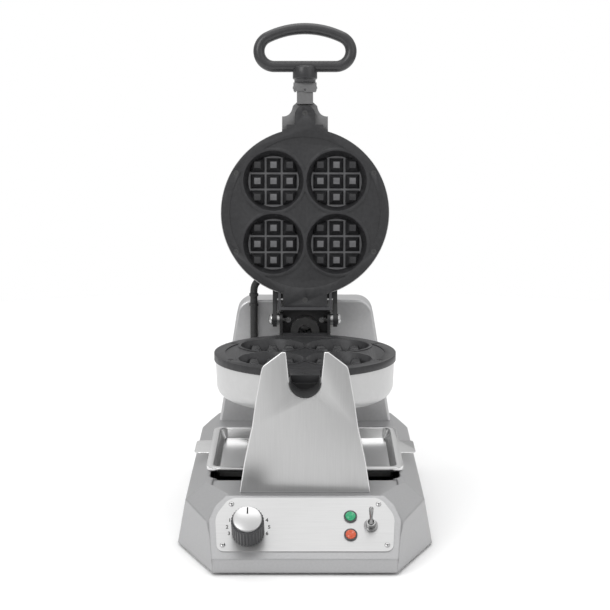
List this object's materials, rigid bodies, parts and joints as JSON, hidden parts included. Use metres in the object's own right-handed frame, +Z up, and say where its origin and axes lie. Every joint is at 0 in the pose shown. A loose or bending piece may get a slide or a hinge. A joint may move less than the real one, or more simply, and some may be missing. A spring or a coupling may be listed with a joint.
{
  "type": "rotary belgian waffle maker",
  "caption": "Countertop waffle maker with a hinged round lid of small cavities, a folding loop handle, a turning lower half, a drip tray, a thermostat knob and a toggle switch.",
  "frame": {"origin": "on the table, under the middle of the bounding box", "axes": "+X to the right as seen by the user, +Y to the back, +Z up"},
  "size_m": [0.269, 0.4476, 0.5422],
  "materials": {
    "silver_paint": "silver paint, satin",
    "black_paint": "black paint, satin",
    "gray_paint": "mid gray, satin",
    "brushed_plate": "brushed across",
    "polished_tray": "polished sheet",
    "turned_steel": "turned",
    "bright_screws": "bright plated",
    "bush_brass": "plain",
    "waffle_iron": "cast, seasoned gray",
    "heater_tube": "heat-darkened sheath",
    "dark_liner": "dark gray, matte",
    "dark_plastic": "black moulded",
    "handle_black": "black, semi-gloss",
    "green_lens": "green lens",
    "orange_lens": "orange-red lens",
    "lead_sleeve": "black sleeve",
    "foot_rubber": "black rubber"
  },
  "bodies": {
    "base": {"base_housing": "silver_paint", "tray_well": "black_paint", "bottom_plate": "silver_paint", "rubber_feet": "foot_rubber", "base_screws": "bright_screws", "control_plate": "brushed_plate", "control_plate_screws": "bright_screws", "thermostat": "dark_plastic", "ready_lamp": "green_lens", "power_lamp": "orange_lens", "lamp_bezels": "dark_plastic", "toggle_body": "bright_screws", "toggle_nut": "bright_screws", "buzzer": "dark_plastic", "terminal_block": "dark_plastic", "front_support": "silver_paint", "front_support_screws": "bright_screws", "notch_liner": "dark_liner", "rear_tower": "silver_paint", "tower_screws": "bright_screws", "rear_cover": "silver_paint", "rear_cover_screws": "bright_screws", "bearing_bush": "bush_brass", "cord_gland": "dark_plastic", "gland_nut": "dark_plastic"},
    "rotor": {"rotor_shaft": "turned_steel", "shaft_bush": "dark_plastic", "retaining_ring": "turned_steel", "stop_pin": "turned_steel", "hinge_yoke": "black_paint", "yoke_screws": "bright_screws", "hinge_bolts": "bright_screws", "hinge_spacers": "turned_steel", "lower_plate": "waffle_iron", "lower_casing": "silver_paint", "lower_heater": "heater_tube", "lower_plate_screws": "bright_screws", "temperature_sensor": "turned_steel", "front_trough": "black_paint", "heater_lead": "lead_sleeve", "cable_ties": "dark_plastic"},
    "lid": {"upper_plate": "waffle_iron", "upper_casing": "silver_paint", "upper_heater": "heater_tube", "upper_plate_screws": "bright_screws", "hinge_bracket": "black_paint", "bracket_screws": "bright_screws", "hinge_frame": "dark_liner", "wing_bracket": "gray_paint"},
    "handle": {"handle_loop": "handle_black", "handle_socket": "gray_paint", "fold_pin": "bright_screws", "latch_button": "dark_liner"},
    "knob": {"knob": "dark_plastic", "knob_cap": "brushed_plate", "thermostat_spindle": "turned_steel"},
    "toggle": {"toggle_lever": "bright_screws"},
    "tray": {"drip_tray": "polished_tray"}
  },
  "joints": [
    {"name": "flip_turn", "type": "hinge", "parent": "base", "child": "rotor", "pos_m": [0, 0.14183, 0.183], "axis": [0, 1, 0], "range_deg": [0, 15]},
    {"name": "lid_hinge", "type": "hinge", "parent": "rotor", "child": "lid", "pos_m": [0, 0.13773, 0.1965], "axis": [1, 0, 0], "range_deg": [0, 99], "deforming": ["heater_lead"]},
    {"name": "handle_fold", "type": "hinge", "parent": "lid", "child": "handle", "pos_m": [0, 0.16694, 0.46716], "axis": [1, 0, 0], "range_deg": [-90, 0]},
    {"name": "knob_turn", "type": "hinge", "parent": "base", "child": "knob", "pos_m": [-0.0576, -0.19936, 0.04365], "axis": [0, -0.6756, 0.7373], "range_deg": [-135, 135]},
    {"name": "toggle_tip", "type": "hinge", "parent": "base", "child": "toggle", "pos_m": [0.0667, -0.19391, 0.04865], "axis": [1, 0, 0], "range_deg": [0, 44]},
    {"name": "tray_lift", "type": "slide", "parent": "base", "child": "tray", "axis": [0, 0, 1], "range_m": [0, 0.006]}
  ]
}
